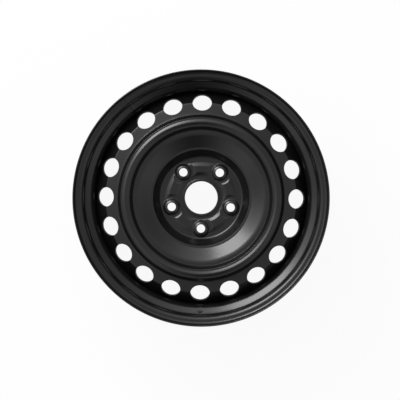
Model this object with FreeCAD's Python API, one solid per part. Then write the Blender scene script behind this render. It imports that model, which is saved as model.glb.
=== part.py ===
import FreeCAD, Part
import math
import os

# Pressed-steel road wheel, 17 x 7 J, offset 48. All lengths in millimetres, angles in degrees.
# Origin: centre of the hub mounting face. +Z: along the axis to the outboard side. Valve hole: toward -Y.

# Rim: a rolled hoop, drawn along its tyre side from the outboard lip to the inboard lip
RIM_SHEET = 2.6
RIM_WIDTH = 177.8  # between the two flange walls
RIM_INSET = 48.0  # hub face to the rim's centre plane
RIM_EDGE_ROUND = 1.2
FLANGE_R = 235.6
FLANGE_REACH = 12.6  # flange wall to the lip's edge
FLANGE_CURL = 9.5
BEAD_R = 218.3  # bead seat at the flange wall
BEAD_FILLET = 7.5
BEAD_TAPER = 5.0
BEAD_LENGTH = 17.9  # flange wall to the hump's foot
HUMP_RISE = 1.5
HUMP_RUN = 4.0
HUMP_FOOT_BEND = 5.0
HUMP_BEND = 4.0
WELL_R = 197.8  # tyre side of the drop centre
WELL_OUT_Z = 8.6
WELL_OUT_BEND = 14.5
WELL_IN_Z = -46.0
WELL_IN_BEND = 12.0
RAMP_R = 213.0
RAMP_Z = -74.0
RAMP_BEND = 12.0
LEDGE_R = 213.5
LEDGE_Z = -108.0
LEDGE_BEND = 6.0

# Valve hole, square to the slope between the well and the outboard bead seat
VALVE_HOLE_R = 5.65
VALVE_SHARE = 0.4725  # of the slope, from the bead seat's hump down to the hole
VALVE_ANGLE = -90.0
VALVE_DRILL = 9.0

# Disc: one pressing, drawn along its outboard face from the bore collar to the flange
DISC_SHEET = 4.2
DISC_EDGE_ROUND = 0.8
LEAST_BEND = 0.4  # inside a sharp bend
BORE_R = 30.05
COLLAR_TOP_Z = 9.5
COLLAR_BEND = 1.0
HUB_FLAT_R = 75.9
HUB_BEND = 5.0
STEP_R = 88.9
STEP_Z = 22.6
STEP_BEND = 1.0
SILL_WIDTH = 3.9  # from the step out to the dish
SILL_Z = 22.8
SILL_BEND = 5.0
DISH_BEND = 18.0
DISH_OUT_Z = 35.1
SHOULDER_WIDTH = 8.6  # from the dish out to the shoulder
SHOULDER_Z = 35.4
SHOULDER_BEND = 0.8
SHOULDER_RUN = 6.3  # from the shoulder out to the plateau

# The ridge on the plateau between the dish and the vents
PLATEAU_Z = 43.5
PLATEAU_BEND = 0.8
PLATEAU_IN = 8.2  # from the ridge in to the plateau's edge
PLATEAU_OUT = 7.9  # from the ridge out to the plateau's edge
RIDGE_SHARE = 0.5348  # of the way from the hub's flat to the flange
RIDGE_HALF_WIDTH = 5.0
RIDGE_RISE = 2.4
RIDGE_BEND = 3.0
RIDGE_FOOT_BEND = 1.0

# The groove, and the vented band from there to the flange
GROOVE_RUN = 5.8  # from the plateau's outer edge
GROOVE_Z = 35.3
GROOVE_BEND = 1.0
VENT_BEND_INSET = 20.0
VENT_BEND_Z = 31.4
VENT_BEND = 2.0
SKIRT_SLOPE = 62.0
FLANGE_BEND = 12.0
FLANGE_END_Z = -36.0

# Lug holes, each in a raised seat with a hollow behind it
LUG_COUNT = 5
LUG_CIRCLE_R = 57.15
LUG_FIRST = -90.0
LUG_HOLE_R = 7.75
LUG_SEAT_R = 9.4
LUG_SEAT_HALF_ANGLE = 30.0
LUG_BOSS_BASE_R = 16.0
LUG_CROWN_R = 12.0  # where the boss's slope meets its flatter crown
LUG_CROWN_Z = 8.6
LUG_BOSS_TOP_R = 9.2
LUG_BOSS_TOP_Z = 10.0
LUG_HOLLOW_BASE_R = 13.5
LUG_HOLLOW_TOP_R = 11.2
LUG_HOLLOW_DEPTH = 3.0

# Raised pads between the lug holes
PAD_FIRST = -54.0
PAD_CORE_IN_R = 47.0
PAD_CORE_OUT_R = 58.5
PAD_CORE_HALF_ANGLE = 10.5
PAD_BASE_GROW = 7.8
PAD_TOP_GROW = 2.0
PAD_HEIGHT = 3.0
PAD_ROUND = 1.5

# Vent holes, pierced across the bend at the disc's edge
VENT_COUNT = 20
VENT_FIRST = 90.0
VENT_INSET = 20.8  # inward from the flange
VENT_AT_Z = 30.2
VENT_TILT = 28.0  # punch direction, leaning away from the axis
VENT_HALF_WIDTH = 17.75
VENT_INNER_REACH = 14.0
VENT_OUTER_REACH = 26.9
VENT_PUNCH = 70.0

# Arc welds on the inboard end of the disc's flange
WELD_COUNT = 10
WELD_FIRST = 18.0
WELD_SPAN = 19.0
WELD_LEG_AXIAL = 5.0
WELD_LEG_RADIAL = 3.9
WELD_CROWN = 0.7
WELD_END_ROUND = 1.5

OVERRUN = 10.0  # how far a cutter runs past what it cuts
SNAP = 1e-5  # differences below this count as none
FULL_TURN = 360.0
AXIS = FreeCAD.Vector(0, 0, 1)
CENTRE = FreeCAD.Vector(0, 0, 0)


def section_point(r, z):
    """A point of a section, in the half plane that is turned about the axis."""
    return FreeCAD.Vector(r, 0, z)


def right_hand(start, end):
    """The unit vector to the right of a section line, seen with r across and z up."""
    along = (end - start).normalize()
    return FreeCAD.Vector(along.z, 0, -along.x)


def turns_left(before, corner, after):
    """Whether the section line bends to its left at a corner."""
    return right_hand(before, corner).dot(after - corner) < 0


def parallel(points, bends, distance):
    """The corners and bend radii of the line that runs to the right of another at one distance."""
    sides = [right_hand(a, b) for a, b in zip(points, points[1:])]
    moved = [points[0] + sides[0] * distance]
    radii = [bends[0]]
    for i in range(1, len(points) - 1):
        mitre = (sides[i - 1] + sides[i]) * (distance / (1 + sides[i - 1].dot(sides[i])))
        moved.append(points[i] + mitre)
        grows = turns_left(points[i - 1], points[i], points[i + 1])
        radii.append(bends[i] + distance if grows else max(bends[i] - distance, LEAST_BEND))
    moved.append(points[-1] + sides[-1] * distance)
    radii.append(bends[-1])
    return moved, radii


def rounded_wire(points, bends):
    """A closed wire through the corners, each rounded to its own radius."""
    edges = []
    starts = []
    ends = []
    for i, corner in enumerate(points):
        back = (points[i - 1] - corner).normalize()
        ahead = (points[(i + 1) % len(points)] - corner).normalize()
        half = back.getAngle(ahead) / 2
        run = bends[i] / math.tan(half)
        starts.append(corner + back * run)
        ends.append(corner + ahead * run)
        if bends[i] > 0:
            inward = (back + ahead).normalize()
            middle = corner + inward * (bends[i] / math.sin(half) - bends[i])
            edges.append(Part.Arc(starts[i], middle, ends[i]).toShape())
    for i in range(len(points)):
        edges.append(Part.LineSegment(ends[i - 1], starts[i]).toShape())
    return Part.Wire(Part.__sortEdges__(edges))


def sheet_ring(corners, thickness):
    """A ring of sheet metal that lies to the right of a line of (r, z, bend radius) corners."""
    points = [section_point(r, z) for r, z, _ in corners]
    bends = [bend for _, _, bend in corners]
    far_points, far_bends = parallel(points, bends, thickness)
    outline = rounded_wire(points + far_points[::-1], bends + far_bends[::-1])
    return Part.Face(outline).revolve(CENTRE, AXIS, FULL_TURN)


def around(shape, count, first):
    """Copies of a shape made at +X, spaced evenly about the axis from a first angle."""
    copies = []
    for i in range(count):
        copy = shape.copy()
        copy.rotate(CENTRE, AXIS, first + i * FULL_TURN / count)
        copies.append(copy)
    return copies


def bead_side(wall_z, outward):
    """Rim corners from a lip to the hump behind its bead seat; outward is +1 outboard and -1 inboard."""
    foot_r = BEAD_R - BEAD_LENGTH * math.tan(math.radians(BEAD_TAPER))
    foot_z = wall_z - outward * BEAD_LENGTH
    return [
        (FLANGE_R, wall_z + outward * FLANGE_REACH, RIM_EDGE_ROUND),
        (FLANGE_R, wall_z, FLANGE_CURL),
        (BEAD_R, wall_z, BEAD_FILLET),
        (foot_r, foot_z, HUMP_FOOT_BEND),
        (foot_r + HUMP_RISE, foot_z - outward * HUMP_RUN, HUMP_BEND),
    ]


def rim_corners():
    """The rim's tyre side, from the outboard lip to the inboard lip."""
    outboard = bead_side(RIM_WIDTH / 2 - RIM_INSET, 1)
    inboard = bead_side(-RIM_WIDTH / 2 - RIM_INSET, -1)
    middle = [
        (WELL_R, WELL_OUT_Z, WELL_OUT_BEND),
        (WELL_R, WELL_IN_Z, WELL_IN_BEND),
        (RAMP_R, RAMP_Z, RAMP_BEND),
        (LEDGE_R, LEDGE_Z, LEDGE_BEND),
    ]
    return outboard + middle + inboard[::-1]


def valve_drill():
    """The drill for the valve hole, square to the rim's outboard slope."""
    top_r, top_z, _ = bead_side(RIM_WIDTH / 2 - RIM_INSET, 1)[-1]
    top = section_point(top_r, top_z)
    foot = section_point(WELL_R, WELL_OUT_Z)
    to_air = right_hand(top, foot)
    air_top = top + to_air * RIM_SHEET
    centre = air_top + (foot - top) * VALVE_SHARE
    drill = Part.makeCylinder(VALVE_HOLE_R, 2 * VALVE_DRILL, centre - to_air * VALVE_DRILL, to_air)
    drill.rotate(CENTRE, AXIS, VALVE_ANGLE)
    return drill


def make_rim():
    """The rolled hoop with its valve hole."""
    return sheet_ring(rim_corners(), RIM_SHEET).cut(valve_drill())


def disc_flange_r():
    """The disc's flange sits against the air side of the rim's well."""
    return WELL_R - RIM_SHEET


def disc_corners():
    """The disc's outboard face, from the top of the bore collar to the end of the flange."""
    flange_r = disc_flange_r()
    ridge_r = HUB_FLAT_R + RIDGE_SHARE * (flange_r - HUB_FLAT_R)
    plateau_in_r = ridge_r - PLATEAU_IN
    plateau_out_r = ridge_r + PLATEAU_OUT
    shoulder_r = plateau_in_r - SHOULDER_RUN
    skirt_drop = VENT_BEND_INSET * math.tan(math.radians(SKIRT_SLOPE))
    return [
        (BORE_R + DISC_SHEET, COLLAR_TOP_Z, DISC_EDGE_ROUND),
        (BORE_R + DISC_SHEET, DISC_SHEET, COLLAR_BEND),
        (HUB_FLAT_R, DISC_SHEET, HUB_BEND),
        (STEP_R, STEP_Z, STEP_BEND),
        (STEP_R + SILL_WIDTH, SILL_Z, SILL_BEND),
        (shoulder_r - SHOULDER_WIDTH, DISH_OUT_Z, DISH_BEND),
        (shoulder_r, SHOULDER_Z, SHOULDER_BEND),
        (plateau_in_r, PLATEAU_Z, PLATEAU_BEND),
        (ridge_r - RIDGE_HALF_WIDTH, PLATEAU_Z, RIDGE_FOOT_BEND),
        (ridge_r, PLATEAU_Z + RIDGE_RISE, RIDGE_BEND),
        (ridge_r + RIDGE_HALF_WIDTH, PLATEAU_Z, RIDGE_FOOT_BEND),
        (plateau_out_r, PLATEAU_Z, PLATEAU_BEND),
        (plateau_out_r + GROOVE_RUN, GROOVE_Z, GROOVE_BEND),
        (flange_r - VENT_BEND_INSET, VENT_BEND_Z, VENT_BEND),
        (flange_r, VENT_BEND_Z - skirt_drop, FLANGE_BEND),
        (flange_r, FLANGE_END_Z, 0),
    ]


def pad_outline(grow, z):
    """A pad's outline with rounded corners, at one height."""
    half = math.radians(PAD_CORE_HALF_ANGLE)

    def at(r, angle):
        return FreeCAD.Vector(r * math.cos(angle), r * math.sin(angle), z)

    core = Part.Wire([
        Part.Arc(at(PAD_CORE_OUT_R, -half), at(PAD_CORE_OUT_R, 0), at(PAD_CORE_OUT_R, half)).toShape(),
        Part.LineSegment(at(PAD_CORE_OUT_R, half), at(PAD_CORE_IN_R, half)).toShape(),
        Part.Arc(at(PAD_CORE_IN_R, half), at(PAD_CORE_IN_R, 0), at(PAD_CORE_IN_R, -half)).toShape(),
        Part.LineSegment(at(PAD_CORE_IN_R, -half), at(PAD_CORE_OUT_R, -half)).toShape(),
    ])
    return core.makeOffset2D(grow)


def top_edges(shape):
    """The edges that lie in a shape's highest plane."""
    top = shape.BoundBox.ZMax
    return [edge for edge in shape.Edges if edge.BoundBox.ZMin > top - SNAP]


def pad_lift():
    """A pad's raised front."""
    base = pad_outline(PAD_BASE_GROW, DISC_SHEET)
    top = pad_outline(PAD_TOP_GROW, DISC_SHEET + PAD_HEIGHT)
    lift = Part.makeLoft([base, top], True, True)
    return lift.makeFillet(PAD_ROUND, top_edges(lift))


def pad_hollow():
    """The hollow behind a pad, one sheet thickness away from its front."""
    wall = math.atan2(PAD_HEIGHT, PAD_BASE_GROW - PAD_TOP_GROW)
    inset = DISC_SHEET * math.tan(wall / 2)
    base = pad_outline(PAD_BASE_GROW - inset, 0)
    top = pad_outline(PAD_TOP_GROW - inset, PAD_HEIGHT)
    return Part.makeLoft([base, top], True, True)


def lug_boss():
    """The raised cone around one lug hole, with its flatter crown."""
    foot = FreeCAD.Vector(LUG_CIRCLE_R, 0, DISC_SHEET)
    neck = FreeCAD.Vector(LUG_CIRCLE_R, 0, LUG_CROWN_Z)
    slope = Part.makeCone(LUG_BOSS_BASE_R, LUG_CROWN_R, LUG_CROWN_Z - DISC_SHEET, foot)
    crown = Part.makeCone(LUG_CROWN_R, LUG_BOSS_TOP_R, LUG_BOSS_TOP_Z - LUG_CROWN_Z, neck)
    return slope.fuse(crown)


def lug_cutter():
    """One lug hole with its nut seat and the hollow behind it."""
    steep = math.tan(math.radians(LUG_SEAT_HALF_ANGLE))
    seat_depth = (LUG_SEAT_R - LUG_HOLE_R) / steep
    seat = Part.makeCone(
        LUG_HOLE_R,
        LUG_SEAT_R + OVERRUN * steep,
        seat_depth + OVERRUN,
        FreeCAD.Vector(LUG_CIRCLE_R, 0, LUG_BOSS_TOP_Z - seat_depth),
    )
    hole = Part.makeCylinder(
        LUG_HOLE_R, LUG_BOSS_TOP_Z + OVERRUN, FreeCAD.Vector(LUG_CIRCLE_R, 0, -OVERRUN)
    )
    hollow = Part.makeCone(
        LUG_HOLLOW_BASE_R, LUG_HOLLOW_TOP_R, LUG_HOLLOW_DEPTH, FreeCAD.Vector(LUG_CIRCLE_R, 0, 0)
    )
    return seat.fuse([hole, hollow])


def vent_punch():
    """The punch for one vent: two half ellipses on one width, leaning away from the axis."""
    width_end = FreeCAD.Vector(0, VENT_HALF_WIDTH, 0)
    outer_end = FreeCAD.Vector(VENT_OUTER_REACH, 0, 0)
    inner_end = FreeCAD.Vector(-VENT_INNER_REACH, 0, 0)
    outer = Part.ArcOfEllipse(Part.Ellipse(outer_end, width_end, CENTRE), -math.pi / 2, math.pi / 2)
    inner = Part.ArcOfEllipse(Part.Ellipse(width_end, inner_end, CENTRE), 0, math.pi)
    outline = Part.Wire([outer.toShape(), inner.toShape()])
    punch = Part.Face(outline).extrude(FreeCAD.Vector(0, 0, VENT_PUNCH))
    punch.translate(FreeCAD.Vector(0, 0, -VENT_PUNCH / 2))
    punch.rotate(CENTRE, FreeCAD.Vector(0, 1, 0), VENT_TILT)
    punch.translate(section_point(disc_flange_r() - VENT_INSET, VENT_AT_Z))
    return punch


def make_disc():
    """The pressed disc: its dished ring, the lifts between and around the lug holes, and every hole."""
    lifts = around(pad_lift(), LUG_COUNT, PAD_FIRST) + around(lug_boss(), LUG_COUNT, LUG_FIRST)
    cuts = (
        around(pad_hollow(), LUG_COUNT, PAD_FIRST)
        + around(lug_cutter(), LUG_COUNT, LUG_FIRST)
        + around(vent_punch(), VENT_COUNT, VENT_FIRST)
    )
    return sheet_ring(disc_corners(), DISC_SHEET).fuse(lifts).cut(cuts).removeSplitter()


def weld_bead():
    """One fillet weld between the flange's end and the rim's well, centred on +X."""
    wall_r = disc_flange_r()
    root = section_point(wall_r, FLANGE_END_Z)
    on_rim = section_point(wall_r, FLANGE_END_Z - WELD_LEG_AXIAL)
    on_disc = section_point(wall_r - WELD_LEG_RADIAL, FLANGE_END_Z)
    crown = (on_rim + on_disc) / 2 + right_hand(on_disc, on_rim) * WELD_CROWN
    outline = Part.Wire([
        Part.LineSegment(root, on_rim).toShape(),
        Part.Arc(on_rim, crown, on_disc).toShape(),
        Part.LineSegment(on_disc, root).toShape(),
    ])
    bead = Part.Face(outline).revolve(CENTRE, AXIS, WELD_SPAN)
    bead.rotate(CENTRE, AXIS, -WELD_SPAN / 2)
    arcs = [edge for edge in bead.Edges if edge.Curve.TypeId == "Part::GeomCircle"]
    ends = [arc for arc in arcs if abs(arc.Curve.Axis.dot(AXIS)) < SNAP]
    return bead.makeFillet(WELD_END_ROUND, ends)


def make_welds():
    """Every weld bead, each a solid of its own."""
    return Part.makeCompound(around(weld_bead(), WELD_COUNT, WELD_FIRST))


def main():
    """Build each piece and write its file."""
    os.makedirs("parts", exist_ok=True)
    pieces = {"rim": make_rim(), "disc": make_disc(), "weld_beads": make_welds()}
    for name, shape in pieces.items():
        shape.exportStep(f"parts/{name}.step")


main()
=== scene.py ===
"""A bare pressed-steel car wheel in satin black paint, lying on its inboard flange and seen from above.

The rim and the disc are each drawn as a closed section of sheet and spun about the axis. The disc's hub is
then embossed, and the holes are cut. Lengths are in metres, apart from names that end in _mm.
"""

import logging
import math
from dataclasses import dataclass, replace
from enum import Enum
from typing import Any, Iterable, Union

import bmesh
import bpy
from mathutils import Matrix, Vector


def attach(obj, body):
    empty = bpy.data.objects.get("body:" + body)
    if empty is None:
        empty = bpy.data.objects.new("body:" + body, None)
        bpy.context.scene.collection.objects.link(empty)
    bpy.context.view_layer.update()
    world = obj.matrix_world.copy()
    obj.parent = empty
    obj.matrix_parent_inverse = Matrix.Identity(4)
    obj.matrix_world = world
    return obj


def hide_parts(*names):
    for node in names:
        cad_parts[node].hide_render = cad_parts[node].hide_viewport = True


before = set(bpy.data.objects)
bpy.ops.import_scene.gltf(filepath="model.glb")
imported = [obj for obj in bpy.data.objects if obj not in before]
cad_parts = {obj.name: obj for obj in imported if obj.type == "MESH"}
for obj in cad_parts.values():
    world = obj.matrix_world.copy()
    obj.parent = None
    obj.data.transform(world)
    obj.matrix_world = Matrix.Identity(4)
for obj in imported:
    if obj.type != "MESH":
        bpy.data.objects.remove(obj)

LOG = logging.getLogger("wheel")
BODY = "root"
MM = 0.001
AXIS = Vector((0.0, 0.0, 1.0))
ORIGIN = Vector((0.0, 0.0, 0.0))
SEGMENTS = 320
SHARP_EDGE = math.radians(38.0)
MERGE_DISTANCE = 1e-6
PRESS_BEND = 0.15

Value = Union["Wire", float]
Colour = tuple[float, float, float, float]
WHITE: Colour = (1.0, 1.0, 1.0, 1.0)


class Forming(Enum):
    """How a piece was made, which sets the faint marks that show through its paint."""

    ROLLED = "rolled"
    PRESSED = "pressed"
    WELDED = "welded"


class Wire:
    """A shader value; arithmetic on it adds Math nodes."""

    def __init__(self, bench: "ShaderBench", socket: bpy.types.NodeSocket) -> None:
        """Hold one output socket and the bench that it stands on."""
        self.bench = bench
        self.socket = socket

    def math(self, operation: str, *operands: Value) -> "Wire":
        """Add one Math node.

        Args:
            operation: The node's operation.
            operands: Its inputs, in order.

        Returns:
            The node's result.
        """
        node = self.bench.node("ShaderNodeMath", {"operation": operation}, dict(enumerate(operands)))
        return Wire(self.bench, node.outputs[0])

    def __add__(self, other: Value) -> "Wire":
        """Sum."""
        return self.math("ADD", self, other)

    __radd__ = __add__

    def __sub__(self, other: Value) -> "Wire":
        """Difference."""
        return self.math("SUBTRACT", self, other)

    def __rsub__(self, other: Value) -> "Wire":
        """Difference, the other way round."""
        return self.math("SUBTRACT", other, self)

    def __mul__(self, other: Value) -> "Wire":
        """Product."""
        return self.math("MULTIPLY", self, other)

    __rmul__ = __mul__

    def __truediv__(self, other: Value) -> "Wire":
        """Quotient."""
        return self.math("DIVIDE", self, other)

    def __rtruediv__(self, other: Value) -> "Wire":
        """Quotient, the other way round."""
        return self.math("DIVIDE", other, self)

    def __pow__(self, other: Value) -> "Wire":
        """Power."""
        return self.math("POWER", self, other)

    def __abs__(self) -> "Wire":
        """Size without sign."""
        return self.math("ABSOLUTE", self)

    def ramp(self, low: float, high: float) -> "Wire":
        """A smooth step between two values.

        Args:
            low: Where the result is 0.
            high: Where it is 1.

        Returns:
            The step.
        """
        limits = {"Value": self, "From Min": low, "From Max": high, "To Min": 0.0, "To Max": 1.0}
        node = self.bench.node("ShaderNodeMapRange", {"interpolation_type": "SMOOTHSTEP"}, limits)
        return Wire(self.bench, node.outputs[0])


class ShaderBench:
    """A node tree that nodes are added to by type, settings and socket values."""

    def __init__(self, tree: bpy.types.NodeTree) -> None:
        """Take a tree and empty it."""
        self.tree = tree
        self.tree.nodes.clear()

    def node(self, kind: str, settings: dict[str, Any], sockets: dict[Any, Any]) -> bpy.types.Node:
        """Add one node.

        Args:
            kind: The node's type.
            settings: Its own properties, set first.
            sockets: Values or links for its inputs, by name or number.

        Returns:
            The node.
        """
        made = self.tree.nodes.new(kind)
        for name, value in settings.items():
            setattr(made, name, value)
        for key, value in sockets.items():
            source = value.socket if isinstance(value, Wire) else value
            if isinstance(source, bpy.types.NodeSocket):
                self.tree.links.new(source, made.inputs[key])
            else:
                made.inputs[key].default_value = source
        return made

    def read(self, kind: str, output: str) -> bpy.types.NodeSocket:
        """One output of a node that takes no input."""
        return self.node(kind, {}, {}).outputs[output]

    def parts_of(self, vector: bpy.types.NodeSocket) -> tuple[Wire, Wire, Wire]:
        """A vector's X, Y and Z."""
        split = self.node("ShaderNodeSeparateXYZ", {}, {"Vector": vector})
        return Wire(self, split.outputs[0]), Wire(self, split.outputs[1]), Wire(self, split.outputs[2])

    def noise(self, point: bpy.types.NodeSocket, scale: float, detail: float) -> Wire:
        """Soft noise about 0.5.

        Args:
            point: Where it is read.
            scale: Its frequency, per metre.
            detail: Its octaves.

        Returns:
            The noise.
        """
        made = self.node("ShaderNodeTexNoise", {}, {"Vector": point, "Scale": scale, "Detail": detail})
        return Wire(self, made.outputs[0])

    def mixed(self, factor: Value, low: Colour, high: Colour) -> bpy.types.NodeSocket:
        """A colour between two.

        Args:
            factor: How far from low to high.
            low: The colour at 0.
            high: The colour at 1.

        Returns:
            The mixed colour.
        """
        made = self.node("ShaderNodeMix", {"data_type": "RGBA"}, {0: factor, 6: low, 7: high})
        return made.outputs[2]


@dataclass(frozen=True)
class SatinBlack:
    """Dipped black paint: a satin film with orange peel, some haze and faint marks of the forming."""

    name: str
    forming: Forming
    colour: Colour = (0.0050, 0.0050, 0.0052, 1.0)
    haze: Colour = (0.0075, 0.0075, 0.0078, 1.0)
    haze_range: tuple[float, float] = (0.3, 0.75)
    roughness: float = 0.26
    roughness_swing: float = 0.05
    cloud_scale: float = 14.0
    cloud_detail: float = 4.0
    peel_scale: float = 420.0
    peel_detail: float = 1.0
    peel_depth: float = 0.00003
    mark_scale: float = 700.0
    mark_detail: float = 3.0
    mark_stretch: float = 0.004
    mark_depth: float = 0.000008
    seam_angle: float = math.radians(128.0)
    seam_half_width: float = 0.0035
    seam_depth: float = 0.0002

    def build(self) -> bpy.types.Material:
        """Make the material.

        Returns:
            The finished material.
        """
        material = bpy.data.materials.new(self.name)
        material.use_nodes = True
        bench = ShaderBench(material.node_tree)
        point = bench.read("ShaderNodeTexCoord", "Object")
        cloud = bench.noise(point, self.cloud_scale, self.cloud_detail)
        peel = bench.noise(point, self.peel_scale, self.peel_detail)
        marks = self.marks(bench, point)
        height = peel * self.peel_depth + marks * self.mark_depth + self.seam(bench, point)
        bump = bench.node("ShaderNodeBump", {}, {"Strength": 1.0, "Distance": 1.0, "Height": height})
        shader = bench.node("ShaderNodeBsdfPrincipled", {}, {
            "Base Color": bench.mixed(cloud.ramp(*self.haze_range), self.colour, self.haze),
            "Roughness": self.roughness + (cloud + marks - 1.0) * self.roughness_swing,
            "Normal": bump.outputs[0],
        })
        bench.node("ShaderNodeOutputMaterial", {}, {"Surface": shader.outputs[0]})
        return material

    def marks(self, bench: ShaderBench, point: bpy.types.NodeSocket) -> Wire:
        """The faint texture left by the forming: rings on what was rolled or pressed, grains on a weld.

        Args:
            bench: The material's bench.
            point: The point on the piece.

        Returns:
            A texture about 0.5.
        """
        if self.forming is Forming.WELDED:
            return bench.noise(point, self.mark_scale, self.mark_detail)
        x, y, z = bench.parts_of(point)
        radius = (x * x + y * y) ** 0.5
        turn = y.math("ARCTAN2", y, x) * self.mark_stretch
        ring = bench.node("ShaderNodeCombineXYZ", {}, {0: radius, 1: turn, 2: z})
        return bench.noise(ring.outputs[0], self.mark_scale, self.mark_detail)

    def seam(self, bench: ShaderBench, point: bpy.types.NodeSocket) -> Value:
        """The trimmed butt weld across a rolled hoop.

        Args:
            bench: The material's bench.
            point: The point on the piece.

        Returns:
            Its height, 0 on other pieces.
        """
        if self.forming is not Forming.ROLLED:
            return 0.0
        x, y, _ = bench.parts_of(point)
        along = x * math.cos(self.seam_angle) + y * math.sin(self.seam_angle)
        aside = abs(y * math.cos(self.seam_angle) - x * math.sin(self.seam_angle))
        return aside.ramp(self.seam_half_width, 0.0) * along.ramp(0.0, self.seam_half_width) * self.seam_depth


@dataclass(frozen=True)
class Bend:
    """One corner of a sheet's section."""

    r_mm: float
    z_mm: float
    radius_mm: float = 0.0

    def point(self) -> Vector:
        """The corner in the half plane that is spun about the axis."""
        return Vector((self.r_mm, 0.0, self.z_mm)) * MM


def right_hand(start: Vector, end: Vector) -> Vector:
    """The unit vector to the right of a section line, seen with r across and z up."""
    along = (end - start).normalized()
    return Vector((along.z, 0.0, -along.x))


@dataclass
class SheetRing:
    """A ring of sheet metal, spun from its section: one skin's line and the other's parallel to it."""

    bends: Iterable[Bend]
    sheet_mm: float
    edge_round_mm: float
    least_bend_mm: float = 0.4
    fine_until: float = 0.0
    fine_run: float = 1.15 * MM
    run: float = 4.0 * MM
    arc_run: float = 1.1 * MM
    least_arc_steps: int = 3
    round_profile: float = 0.5

    def build(self) -> bmesh.types.BMesh:
        """Make the ring.

        Returns:
            A closed shell whose sheet lies to the right of the line.
        """
        bm = bmesh.new()
        self.lay_section(bm)
        bmesh.ops.spin(
            bm, geom=bm.verts[:] + bm.edges[:], cent=ORIGIN, axis=AXIS, angle=math.tau, steps=SEGMENTS,
            use_merge=True, use_duplicate=False,
        )
        bmesh.ops.remove_doubles(bm, verts=bm.verts[:], dist=MERGE_DISTANCE)
        bmesh.ops.recalc_face_normals(bm, faces=bm.faces[:])
        return bm

    def far_skin(self, near: list[Bend]) -> list[Bend]:
        """The corners of the skin one sheet away.

        Args:
            near: The corners of the skin that is drawn.

        Returns:
            The corners to its right, in the same order.
        """
        points = [bend.point() / MM for bend in near]
        sides = [right_hand(a, b) for a, b in zip(points, points[1:])]
        sides = [sides[0]] + sides + [sides[-1]]
        far = []
        for i, bend in enumerate(near):
            before, after = sides[i], sides[i + 1]
            spot = points[i] + (before + after) * (self.sheet_mm / (1.0 + before.dot(after)))
            grows = before.cross(after).y < 0.0
            inner = max(bend.radius_mm - self.sheet_mm, self.least_bend_mm)
            far.append(Bend(spot.x, spot.z, bend.radius_mm + self.sheet_mm if grows else inner))
        for end in (0, -1):
            far[end] = replace(far[end], radius_mm=self.edge_round_mm)
        return far

    def lay_section(self, bm: bmesh.types.BMesh) -> None:
        """Draw the closed section, round its corners and divide its straight runs.

        Args:
            bm: The mesh to draw it in.
        """
        near = list(self.bends)
        corners = near + self.far_skin(near)[::-1]
        points = [corner.point() for corner in corners]
        verts = [bm.verts.new(point) for point in points]
        for a, b in zip(verts, verts[1:] + verts[:1]):
            bm.edges.new((a, b))
        for i, corner in enumerate(corners):
            radius = corner.radius_mm * MM
            turn = (points[i] - points[i - 1]).angle(points[(i + 1) % len(points)] - points[i])
            bmesh.ops.bevel(
                bm, geom=[verts[i]], affect="VERTICES", offset_type="OFFSET",
                offset=radius * math.tan(turn / 2),
                segments=max(self.least_arc_steps, math.ceil(radius * turn / self.arc_run)),
                profile=self.round_profile, material=-1, clamp_overlap=False,
            )
        for edge in list(bm.edges):
            reach = max(vert.co.x for vert in edge.verts)
            cuts = int(edge.calc_length() / (self.fine_run if reach < self.fine_until else self.run))
            if cuts:
                bmesh.ops.subdivide_edges(bm, edges=[edge], cuts=cuts)


def make_object(name: str, bm: bmesh.types.BMesh) -> bpy.types.Object:
    """Turn a mesh into an object at the origin.

    Args:
        name: The object's name.
        bm: The mesh, which is freed.

    Returns:
        The object.
    """
    mesh = bpy.data.meshes.new(name)
    bm.to_mesh(mesh)
    bm.free()
    made = bpy.data.objects.new(name, mesh)
    bpy.context.scene.collection.objects.link(made)
    return made


def carve(target: bpy.types.Object, cutters: bmesh.types.BMesh) -> None:
    """Cut a mesh out of an object.

    Args:
        target: The object.
        cutters: What is cut out of it, freed afterwards.
    """
    knife = make_object("cutters", cutters)
    cut = target.modifiers.new("cut", "BOOLEAN")
    cut.operation = "DIFFERENCE"
    cut.solver = "EXACT"
    cut.object = knife
    graph = bpy.context.evaluated_depsgraph_get()
    carved = bpy.data.meshes.new_from_object(target.evaluated_get(graph), depsgraph=graph)
    target.modifiers.clear()
    target.data = carved
    bpy.data.objects.remove(knife)


def ease(share: float, foot: float, top: float) -> float:
    """A straight rise from 0 to 1 with rounded ends.

    Args:
        share: How far along the rise.
        foot: How much of it is rounded at its foot.
        top: How much of it is rounded at its top.

    Returns:
        The height.
    """
    held = min(1.0, max(0.0, share))
    steep = 1.0 / (1.0 - (foot + top) / 2.0)
    if held < foot:
        return steep * held * held / (2.0 * foot)
    if held > 1.0 - top:
        return 1.0 - steep * (1.0 - held) ** 2 / (2.0 * top)
    return steep * (held - foot / 2.0)


def turned(degrees: float) -> Matrix:
    """A turn about the wheel's axis."""
    return Matrix.Rotation(math.radians(degrees), 4, AXIS)


def copies_around(bm: bmesh.types.BMesh, count: int, first: float) -> None:
    """Replace a shape made at +X by copies spaced evenly about the axis.

    Args:
        bm: The mesh that holds the shape.
        count: How many copies.
        first: The first one's angle, in degrees.
    """
    shape = bm.verts[:] + bm.edges[:] + bm.faces[:]
    for i in range(1, count):
        copy = bmesh.ops.duplicate(bm, geom=shape)["geom"]
        verts = [item for item in copy if isinstance(item, bmesh.types.BMVert)]
        bmesh.ops.transform(bm, matrix=turned(first + i * 360.0 / count), verts=verts)
    own = [item for item in shape if isinstance(item, bmesh.types.BMVert)]
    bmesh.ops.transform(bm, matrix=turned(first), verts=own)


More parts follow.
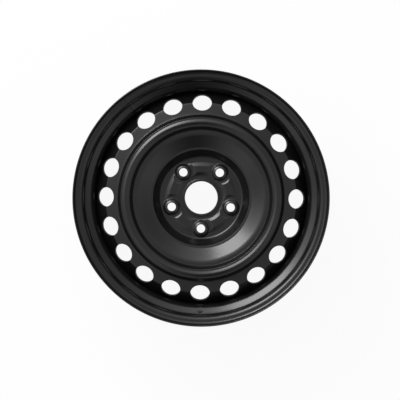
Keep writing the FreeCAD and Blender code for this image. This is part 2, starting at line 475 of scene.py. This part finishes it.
@dataclass
class Piece:
    """One visible piece, which stands for one node of the model."""

    name: str
    node: str
    slot: str
    finish: SatinBlack

    def shape(self) -> bpy.types.Object:
        """Model the piece; each kind has its own way."""
        raise NotImplementedError

    def build(self) -> bpy.types.Object:
        """Model the piece, paint it, hang it on the body and hide the imported part of the node that it
        stands for.

        Returns:
            The finished object.
        """
        made = self.shape()
        made.data.shade_smooth()
        made.data.set_sharp_from_angle(angle=SHARP_EDGE)
        made.data.materials.clear()
        made.data.materials.append(self.finish.build())
        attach(made, BODY)
        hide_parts(self.node)
        LOG.info("%s: %d faces", self.name, len(made.data.polygons))
        return made


@dataclass
class Rim(Piece):
    """The rolled hoop that carries the tyre."""

    sheet_mm: float = 2.6
    edge_round_mm: float = 1.2
    width_mm: float = 177.8
    middle_z_mm: float = -48.0
    flange_r_mm: float = 235.6
    flange_reach_mm: float = 12.6
    flange_curl_mm: float = 9.5
    bead_r_mm: float = 218.3
    bead_fillet_mm: float = 7.5
    bead_length_mm: float = 17.9
    bead_taper: float = math.radians(5.0)
    hump_rise_mm: float = 1.5
    hump_run_mm: float = 4.0
    hump_foot_bend_mm: float = 5.0
    hump_bend_mm: float = 4.0
    well: tuple[Bend, ...] = (
        Bend(197.8, 8.6, 14.5),
        Bend(197.8, -46.0, 12.0),
        Bend(213.0, -74.0, 12.0),
        Bend(213.5, -108.0, 6.0),
    )
    valve_r_mm: float = 5.65
    valve_at_mm: tuple[float, float, float] = (0.0, -207.99, 15.245)
    valve_axis: tuple[float, float, float] = (0.0, -0.4536, -0.8912)
    valve_drill_mm: float = 20.0
    valve_segments: int = 48

    def bead_side(self, outward: float) -> list[Bend]:
        """Corners from a lip to the hump behind its bead seat.

        Args:
            outward: 1 on the outboard side, -1 on the inboard side.

        Returns:
            The corners.
        """
        wall_z = self.middle_z_mm + outward * self.width_mm / 2
        foot_r = self.bead_r_mm - self.bead_length_mm * math.tan(self.bead_taper)
        foot_z = wall_z - outward * self.bead_length_mm
        return [
            Bend(self.flange_r_mm, wall_z + outward * self.flange_reach_mm, self.edge_round_mm),
            Bend(self.flange_r_mm, wall_z, self.flange_curl_mm),
            Bend(self.bead_r_mm, wall_z, self.bead_fillet_mm),
            Bend(foot_r, foot_z, self.hump_foot_bend_mm),
            Bend(foot_r + self.hump_rise_mm, foot_z - outward * self.hump_run_mm, self.hump_bend_mm),
        ]

    def valve_drill(self) -> bmesh.types.BMesh:
        """The drill for the valve hole.

        Returns:
            A cylinder through the rim's outboard slope.
        """
        bm = bmesh.new()
        lean = AXIS.rotation_difference(Vector(self.valve_axis)).to_matrix().to_4x4()
        bmesh.ops.create_cone(
            bm, cap_ends=True, segments=self.valve_segments, radius1=self.valve_r_mm * MM,
            radius2=self.valve_r_mm * MM, depth=self.valve_drill_mm * MM,
            matrix=Matrix.Translation(Vector(self.valve_at_mm) * MM) @ lean,
        )
        return bm

    def shape(self) -> bpy.types.Object:
        """Spin the hoop and drill its valve hole.

        Returns:
            The rim.
        """
        line = self.bead_side(1.0) + list(self.well) + self.bead_side(-1.0)[::-1]
        made = make_object(self.name, SheetRing(line, self.sheet_mm, self.edge_round_mm).build())
        carve(made, self.valve_drill())
        return made


@dataclass
class Disc(Piece):
    """The pressed disc, with its hub embossed and its lug holes and vents cut."""

    sheet_mm: float = 4.2
    edge_round_mm: float = 0.8
    line: tuple[Bend, ...] = (
        Bend(34.25, 9.5, 0.8),
        Bend(34.25, 4.2, 1.0),
        Bend(75.9, 4.2, 5.0),
        Bend(88.9, 22.6, 1.0),
        Bend(92.8, 22.8, 5.0),
        Bend(116.605, 35.1, 18.0),
        Bend(125.205, 35.4, 0.8),
        Bend(131.505, 43.5, 0.8),
        Bend(134.705, 43.5, 1.0),
        Bend(139.705, 45.9, 3.0),
        Bend(144.705, 43.5, 1.0),
        Bend(147.605, 43.5, 0.8),
        Bend(153.405, 35.3, 1.0),
        Bend(175.2, 31.4, 1.0),
        Bend(195.2, -6.215, 12.0),
        Bend(195.2, -36.0, 0.3),
    )
    hub_in_mm: float = 37.0
    hub_out_mm: float = 76.0
    lug_count: int = 5
    lug_first: float = -90.0
    lug_circle_mm: float = 57.15
    lug_hole_mm: float = 7.75
    lug_seat_mm: float = 9.4
    lug_seat_half_angle: float = math.radians(30.0)
    crown_top_mm: float = 9.2
    crown_mm: float = 12.0
    crown_height_mm: float = 1.4
    boss_base_mm: float = 17.6
    boss_height_mm: float = 5.8
    boss_foot: float = 0.55
    hollow_top_mm: float = 11.2
    hollow_base_mm: float = 13.5
    hollow_depth_mm: float = 3.0
    pad_first: float = -54.0
    pad_in_mm: float = 40.4
    pad_in_bow_mm: float = 1.2
    pad_out_mm: float = 65.6
    pad_out_bow_mm: float = 1.6
    pad_bow_angle: float = math.radians(22.0)
    pad_slope: float = math.tan(math.radians(22.0))
    pad_height_mm: float = 3.0
    pad_low_mm: float = 1.3
    pad_clear_mm: tuple[float, float] = (19.5, 23.6)
    pad_back_inset_mm: float = 1.02
    vent_count: int = 20
    vent_first: float = 90.0
    vent_at: Bend = Bend(174.4, 30.2)
    vent_tilt: float = math.radians(28.0)
    vent_half_width_mm: float = 17.75
    vent_inner_mm: float = 14.0
    vent_outer_mm: float = 26.9
    vent_punch_mm: float = 70.0
    vent_segments: int = 72
    lug_segments: int = 64
    overrun_mm: float = 10.0

    def nearest(self, angle: float, first: float) -> float:
        """The angle from the nearest of the evenly spaced lugs or pads.

        Args:
            angle: An angle about the axis.
            first: The first one's angle, in degrees.

        Returns:
            The angle between, from minus to plus half the spacing.
        """
        pitch = math.tau / self.lug_count
        return (angle - math.radians(first) + pitch / 2) % pitch - pitch / 2

    def pad_lift(self, r_mm: float, angle: float, inset_mm: float) -> float:
        """How far the pads, and the lower band that joins them past the lugs, lift the sheet at a point.

        Args:
            r_mm: The point's distance from the axis.
            angle: Its angle about the axis.
            inset_mm: How much smaller the lift is on this side of the sheet.

        Returns:
            The height in millimetres.
        """
        bow = min(1.0, abs(self.nearest(angle, self.pad_first)) / self.pad_bow_angle) ** 2
        inside = min(
            r_mm - self.pad_in_mm + bow * self.pad_in_bow_mm,
            self.pad_out_mm + bow * self.pad_out_bow_mm - r_mm,
        ) - inset_mm
        low, high = self.pad_clear_mm
        pad = ease((self.lug_distance(r_mm, angle) - inset_mm - low) / (high - low), PRESS_BEND, PRESS_BEND)
        level = self.pad_low_mm + pad * (self.pad_height_mm - self.pad_low_mm)
        return level * ease(inside * self.pad_slope / level, PRESS_BEND, PRESS_BEND)

    def lug_distance(self, r_mm: float, angle: float) -> float:
        """The distance from the nearest lug hole's centre.

        Args:
            r_mm: The point's distance from the axis.
            angle: Its angle about the axis.

        Returns:
            The distance in millimetres.
        """
        off = self.nearest(angle, self.lug_first)
        return math.hypot(r_mm * math.cos(off) - self.lug_circle_mm, r_mm * math.sin(off))

    def emboss(self, bm: bmesh.types.BMesh) -> None:
        """Lift the pads and lug seats on the front of the hub, and hollow its back behind them.

        Args:
            bm: The plain disc.
        """
        for vert in bm.verts:
            r_mm = vert.co.xy.length / MM
            if not self.hub_in_mm < r_mm < self.hub_out_mm:
                continue
            angle = math.atan2(vert.co.y, vert.co.x)
            away = self.lug_distance(r_mm, angle)
            if abs(vert.co.z - self.sheet_mm * MM) < MERGE_DISTANCE:
                share = (self.boss_base_mm - away) / (self.boss_base_mm - self.crown_mm)
                slope = ease(share, self.boss_foot, PRESS_BEND)
                crown = min(1.0, max(0.0, (self.crown_mm - away) / (self.crown_mm - self.crown_top_mm)))
                boss = slope * (self.boss_height_mm - self.crown_height_mm) + crown * self.crown_height_mm
                vert.co.z += max(boss, self.pad_lift(r_mm, angle, 0.0)) * MM
            elif abs(vert.co.z) < MERGE_DISTANCE:
                share = (self.hollow_base_mm - away) / (self.hollow_base_mm - self.hollow_top_mm)
                hollow = ease(share, PRESS_BEND, PRESS_BEND) * self.hollow_depth_mm
                vert.co.z += max(hollow, self.pad_lift(r_mm, angle, self.pad_back_inset_mm)) * MM

    def lug_cutters(self) -> bmesh.types.BMesh:
        """The lug holes with their nut seats.

        Returns:
            One spun cutter for each hole.
        """
        bm = bmesh.new()
        steep = math.tan(self.lug_seat_half_angle)
        top = self.sheet_mm + self.boss_height_mm
        seat_foot = top - (self.lug_seat_mm - self.lug_hole_mm) / steep
        reach = self.lug_seat_mm + self.overrun_mm * steep
        line = [
            (0.0, -self.overrun_mm), (self.lug_hole_mm, -self.overrun_mm), (self.lug_hole_mm, seat_foot),
            (reach, top + self.overrun_mm), (0.0, top + self.overrun_mm),
        ]
        verts = [bm.verts.new(Vector((self.lug_circle_mm + r, 0.0, z)) * MM) for r, z in line]
        edges = [bm.edges.new(pair) for pair in zip(verts, verts[1:])]
        centre = Vector((self.lug_circle_mm * MM, 0.0, 0.0))
        bmesh.ops.spin(
            bm, geom=verts + edges, cent=centre, axis=AXIS, angle=math.tau, steps=self.lug_segments,
            use_merge=True, use_duplicate=False,
        )
        bmesh.ops.remove_doubles(bm, verts=bm.verts[:], dist=MERGE_DISTANCE)
        copies_around(bm, self.lug_count, self.lug_first)
        bmesh.ops.recalc_face_normals(bm, faces=bm.faces[:])
        return bm

    def vent_punches(self) -> bmesh.types.BMesh:
        """The punches for the vents, each two half ellipses on one width.

        Returns:
            One leaning prism for each vent.
        """
        bm = bmesh.new()
        bmesh.ops.create_cone(
            bm, cap_ends=True, segments=self.vent_segments, radius1=1.0, radius2=1.0,
            depth=self.vent_punch_mm * MM,
        )
        for vert in bm.verts:
            vert.co.x *= (self.vent_outer_mm if vert.co.x > 0 else self.vent_inner_mm) * MM
            vert.co.y *= self.vent_half_width_mm * MM
        lean = Matrix.Translation(self.vent_at.point()) @ Matrix.Rotation(self.vent_tilt, 4, "Y")
        bmesh.ops.transform(bm, matrix=lean, verts=bm.verts[:])
        copies_around(bm, self.vent_count, self.vent_first)
        return bm

    def shape(self) -> bpy.types.Object:
        """Spin the disc, emboss its hub and cut its holes.

        Returns:
            The disc.
        """
        ring = SheetRing(self.line, self.sheet_mm, self.edge_round_mm, fine_until=self.hub_out_mm * MM)
        bm = ring.build()
        self.emboss(bm)
        bmesh.ops.recalc_face_normals(bm, faces=bm.faces[:])
        made = make_object(self.name, bm)
        carve(made, self.lug_cutters())
        carve(made, self.vent_punches())
        return made


@dataclass
class Welds(Piece):
    """The arc welds between the end of the disc's flange and the rim's well."""

    count: int = 10
    first: float = 18.0
    span: float = 19.0
    root: Bend = Bend(195.2, -36.0)
    leg_axial_mm: float = 5.0
    leg_radial_mm: float = 3.9
    crown_mm: float = 0.7
    crown_points: int = 9
    steps: int = 110
    ripples: float = 20.0
    ripple_depth: float = 0.07
    ripple_sweep: float = 0.6
    end_share: float = 0.05
    end_size: float = 0.35
    end_bend: float = 0.5

    def section(self) -> list[Vector]:
        """The weld's face, from the rim to the disc.

        Returns:
            Its points in the half plane that is spun.
        """
        root = self.root.point()
        on_rim = root - Vector((0.0, 0.0, self.leg_axial_mm * MM))
        on_disc = root - Vector((self.leg_radial_mm * MM, 0.0, 0.0))
        out = (on_rim + on_disc - 2 * root).normalized()
        points = []
        for i in range(self.crown_points):
            share = i / (self.crown_points - 1)
            rise = 4.0 * share * (1.0 - share) * self.crown_mm * MM
            points.append(on_rim.lerp(on_disc, share) + out * rise)
        return points

    def shape(self) -> bpy.types.Object:
        """Spin one bead, ripple it, taper its ends and copy it.

        Returns:
            Every bead as one object.
        """
        bm = bmesh.new()
        verts = [bm.verts.new(point) for point in [self.root.point()] + self.section()]
        ring = [bm.edges.new((verts[i - 1], verts[i])) for i in range(len(verts))]
        bmesh.ops.spin(
            bm, geom=verts + ring, cent=ORIGIN, axis=AXIS, angle=math.radians(self.span), steps=self.steps,
            use_merge=False, use_duplicate=False,
        )
        bmesh.ops.holes_fill(bm, edges=[edge for edge in bm.edges if edge.is_boundary], sides=0)
        bmesh.ops.recalc_face_normals(bm, faces=bm.faces[:])
        for vert in bm.verts:
            self.ripple(vert)
        copies_around(bm, self.count, self.first - self.span / 2)
        return make_object(self.name, bm)

    def ripple(self, vert: bmesh.types.BMVert) -> None:
        """Draw a point of the bead's face toward the root, in ripples and at the ends.

        Args:
            vert: The point.
        """
        angle = math.atan2(vert.co.y, vert.co.x)
        share = angle / math.radians(self.span)
        root = Matrix.Rotation(angle, 3, AXIS) @ self.root.point()
        off = vert.co - root
        if off.length < MERGE_DISTANCE:
            return
        down = -off.z / (self.leg_axial_mm * MM)
        inward = -off.dot(root.normalized()) / (self.leg_radial_mm * MM)
        across = 4.0 * max(down, 0.0) * max(inward, 0.0)
        wave = (1.0 + math.sin(math.tau * (share * self.ripples + self.ripple_sweep * across))) / 2.0
        end = ease(min(share, 1.0 - share) / self.end_share, self.end_bend, self.end_bend)
        size = self.end_size + (1.0 - self.end_size) * end
        vert.co = root + off * ((1.0 - self.ripple_depth * wave) * size)


@dataclass(frozen=True)
class Glow:
    """One soft patch of the studio's walls, brighter than the rest or darker."""

    polar: float
    turn: float
    spread: float
    strength: float

    def toward(self) -> Vector:
        """The direction of its middle, as seen from the wheel."""
        flat = math.sin(self.polar)
        return Vector((flat * math.cos(self.turn), flat * math.sin(self.turn), math.cos(self.polar)))

    def light(self, parts: tuple[Wire, Wire, Wire]) -> Wire:
        """What it adds to the walls.

        Args:
            parts: The X, Y and Z of a direction.

        Returns:
            Its light in that direction.
        """
        aim = self.toward()
        near = parts[0] * aim.x + parts[1] * aim.y + parts[2] * aim.z - 1.0
        fade = near / (self.spread * self.spread)
        return fade.math("EXPONENT", fade) * self.strength


def glow(polar: float, turn: float, spread: float, strength: float) -> Glow:
    """A patch placed by angles in degrees."""
    return Glow(math.radians(polar), math.radians(turn), math.radians(spread), strength)


@dataclass
class Studio:
    """A pale floor, soft light and the camera."""

    floor_z: float = -0.1495
    floor_half: float = 4.0
    floor_grey: Colour = (0.80, 0.80, 0.80, 1.0)
    floor_glow: float = 0.93
    floor_mirrored: float = 0.25
    wall_grey: float = 0.50
    wall_least: float = 0.04
    wall_low_share: float = 0.30
    wall_fade: tuple[float, float] = (math.cos(math.radians(78.0)), math.cos(math.radians(56.0)))
    glows: tuple[Glow, ...] = (
        glow(52.0, 126.0, 17.0, 1.80),
        glow(48.0, 276.0, 14.0, -0.58),
        glow(52.0, 226.0, 16.0, 0.50),
        glow(52.0, 328.0, 16.0, 0.40),
        glow(52.0, 86.0, 14.0, 0.80),
        glow(53.0, 158.0, 12.0, 1.10),
    )
    key_toward: Glow = glow(51.0, 125.0, 13.0, 8.5)
    key_width: float = 1.1
    key_away: float = 3.0
    photo_px: float = 400.0
    flange_px: tuple[float, float] = (201.03, 198.17)
    flange_r_px: float = 128.7
    flange_at: Bend = Bend(235.6, 50.0)
    lean: tuple[float, float] = (math.radians(0.55), math.radians(1.44))
    roll: float = math.radians(0.65)
    away: float = 6.0
    sensor_mm: float = 36.0
    clip_end: float = 100.0

    def floor(self) -> None:
        """Lay a white floor that keeps the wheel's shadow."""
        bm = bmesh.new()
        bmesh.ops.create_grid(bm, x_segments=1, y_segments=1, size=self.floor_half)
        bmesh.ops.translate(bm, verts=bm.verts[:], vec=AXIS * self.floor_z)
        made = make_object("floor", bm)
        material = bpy.data.materials.new("pale_floor")
        material.use_nodes = True
        bench = ShaderBench(material.node_tree)
        path = bench.node("ShaderNodeLightPath", {}, {})
        shares = {
            "Is Camera Ray": self.floor_glow,
            "Is Transmission Ray": self.floor_glow,
            "Is Glossy Ray": self.floor_mirrored,
        }
        seen = sum((Wire(bench, path.outputs[ray]) * share for ray, share in shares.items()), 0.0)
        matt = bench.node("ShaderNodeBsdfDiffuse", {}, {"Color": self.floor_grey})
        white = bench.node("ShaderNodeEmission", {}, {"Strength": 1.0})
        both = bench.node("ShaderNodeMixShader", {}, {
            0: seen.math("MINIMUM", seen, 1.0), 1: matt.outputs[0], 2: white.outputs[0],
        })
        bench.node("ShaderNodeOutputMaterial", {}, {"Surface": both.outputs[0]})
        made.data.materials.append(material)

    def walls(self) -> None:
        """Surround the wheel with soft grey walls, which its paint mirrors."""
        world = bpy.data.worlds.new("studio")
        world.use_nodes = True
        bpy.context.scene.world = world
        bench = ShaderBench(world.node_tree)
        parts = bench.parts_of(bench.read("ShaderNodeTexCoord", "Generated"))
        light = sum((patch.light(parts) for patch in self.glows), self.wall_grey)
        high = parts[2].ramp(*self.wall_fade)
        level = light.math("MAXIMUM", light, self.wall_least) * (
            self.wall_low_share + high * (1.0 - self.wall_low_share)
        )
        back = bench.node("ShaderNodeBackground", {}, {"Color": WHITE, "Strength": level})
        bench.node("ShaderNodeOutputWorld", {}, {"Surface": back.outputs[0]})

    def key(self) -> None:
        """Hang the soft key lamp at the upper left."""
        out = self.key_toward.toward()
        tall = 2.0 * self.key_away * math.tan(self.key_toward.spread)
        lamp = bpy.data.lights.new("key", "AREA")
        lamp.shape = "RECTANGLE"
        lamp.size = tall * self.key_width
        lamp.size_y = tall
        lamp.energy = self.key_toward.strength * math.pi * lamp.size * lamp.size_y
        made = bpy.data.objects.new("key", lamp)
        turn = out.to_track_quat("Z", "Y").to_matrix().to_4x4()
        made.matrix_world = Matrix.Translation(out * self.key_away) @ turn
        bpy.context.scene.collection.objects.link(made)

    def camera(self) -> None:
        """Look down the axis as the photograph does."""
        scale = self.flange_at.r_mm * MM / self.flange_r_px
        back = Vector((math.tan(self.lean[0]), math.tan(self.lean[1]), 1.0)).normalized()
        upright = Vector((-math.sin(self.roll), math.cos(self.roll), 0.0))
        right = upright.cross(back).normalized()
        up = back.cross(right)
        centre = AXIS * (self.flange_at.z_mm * MM)
        half = self.photo_px / 2
        aim = centre - (right * (self.flange_px[0] - half) + up * (half - self.flange_px[1])) * scale
        made = bpy.data.objects.new("camera", bpy.data.cameras.new("camera"))
        made.data.sensor_width = self.sensor_mm
        made.data.lens = self.sensor_mm * self.away / (self.photo_px * scale)
        made.data.clip_end = self.clip_end
        turn = Matrix((right, up, back)).transposed().to_4x4()
        made.matrix_world = Matrix.Translation(aim + back * self.away) @ turn
        bpy.context.scene.collection.objects.link(made)
        bpy.context.scene.camera = made

    def build(self) -> None:
        """Set up everything around the wheel."""
        bpy.context.scene.view_settings.view_transform = "Standard"
        self.floor()
        self.walls()
        self.key()
        self.camera()


def main() -> None:
    """Build the wheel and its studio."""
    logging.basicConfig(level=logging.INFO)
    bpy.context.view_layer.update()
    Rim("rolled_rim", "rim", "rim_paint", SatinBlack("rim_black", Forming.ROLLED)).build()
    Disc("pressed_disc", "disc", "disc_paint", SatinBlack("disc_black", Forming.PRESSED)).build()
    Welds("arc_welds", "weld_beads", "weld_paint", SatinBlack("weld_black", Forming.WELDED)).build()
    Studio().build()


if __name__ == "__main__":
    main()
